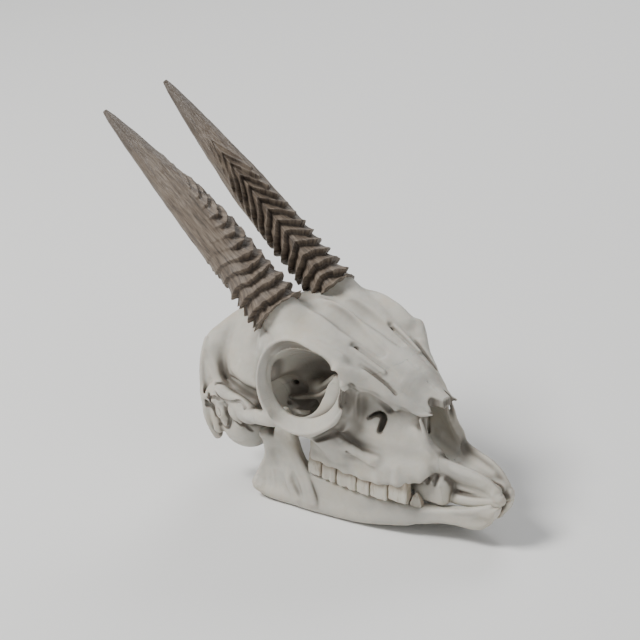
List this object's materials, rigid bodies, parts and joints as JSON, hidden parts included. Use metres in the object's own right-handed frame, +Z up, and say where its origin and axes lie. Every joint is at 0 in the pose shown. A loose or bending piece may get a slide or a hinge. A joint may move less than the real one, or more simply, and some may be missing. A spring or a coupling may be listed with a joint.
{
  "type": "skull",
  "caption": "Small antelope skull with lower jaw and ringed horns, lying as it rests on its jaw, for museum display, teaching or set dressing.",
  "frame": {"origin": "middle of the underside of the skull's box, on the surface that it rests on", "axes": "+Z is up with the upper tooth row level, -Y is the way the muzzle points, +X is the animal's left"},
  "size_m": [0.0532, 0.133, 0.1099],
  "materials": {
    "bone": "dry matt bone",
    "horn": "dull horn sheath"
  },
  "bodies": {
    "root": {"braincase": "bone", "frontal": "bone", "maxilla_left": "bone", "maxilla_right": "bone", "nasal_left": "bone", "nasal_right": "bone", "premaxilla_left": "bone", "premaxilla_right": "bone", "mandible_left": "bone", "mandible_right": "bone", "horn_left": "horn", "horn_right": "horn"}
  },
  "joints": []
}
